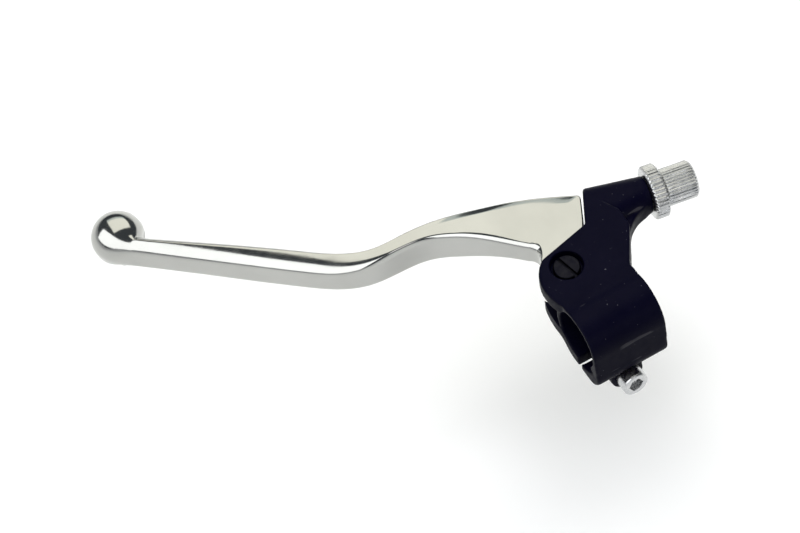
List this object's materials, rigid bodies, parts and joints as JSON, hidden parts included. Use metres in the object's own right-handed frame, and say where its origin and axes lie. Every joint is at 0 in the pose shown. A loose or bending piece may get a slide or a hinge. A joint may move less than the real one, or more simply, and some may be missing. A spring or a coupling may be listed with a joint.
{
  "type": "motorcycle clutch lever",
  "caption": "Left-hand clutch lever with a polished ball-ended blade, a one-piece bar clamp perch, a pivot bolt and a knurled cable adjuster with a lock ring.",
  "frame": {"origin": "on the handlebar axis at the middle of the clamp's width", "axes": "+X along the bar from the lever's blade towards the cable adjuster, +Y away from the rider, +Z along the lever pivot out of the bolt's slotted head"},
  "size_m": [0.2037, 0.1607, 0.0411],
  "materials": {
    "black_casting": "semi-gloss black paint over a smooth aluminium casting",
    "polished_alloy": "polished forged aluminium",
    "bronze": "plain turned bronze",
    "black_steel": "black oxide steel, lightly worn",
    "zinc_steel": "bright zinc plate",
    "nylon": "moulded nylon"
  },
  "bodies": {
    "perch": {"perch_bracket": "black_casting", "pivot_bolt": "black_steel", "pivot_washer": "zinc_steel", "pivot_nut": "zinc_steel", "pivot_nut_insert": "nylon", "clamp_screw": "zinc_steel"},
    "lever": {"lever_blade": "polished_alloy", "pivot_bush": "bronze"},
    "lock_ring": {"adjuster_lock_ring": "zinc_steel"},
    "adjuster": {"adjuster_screw": "zinc_steel"}
  },
  "joints": [
    {"name": "lever_pull", "type": "hinge", "parent": "perch", "child": "lever", "pos_m": [-0.0045, 0.0221, 0], "axis": [0, 0, 1], "range_deg": [0, 35]},
    {"name": "adjuster_travel", "type": "slide", "parent": "perch", "child": "lock_ring", "axis": [0.9845, -0.1754, 0], "range_m": [0, 0.008]},
    {"name": "adjuster_turn", "type": "hinge", "parent": "lock_ring", "child": "adjuster", "pos_m": [0.04598, 0.03861, 0], "axis": [0.9845, -0.1754, 0], "range_deg": [0, 2304]}
  ],
  "couplings": [
    {"joint": "adjuster_turn", "follows": "adjuster_travel", "rad_per_m": 5026.5}
  ]
}
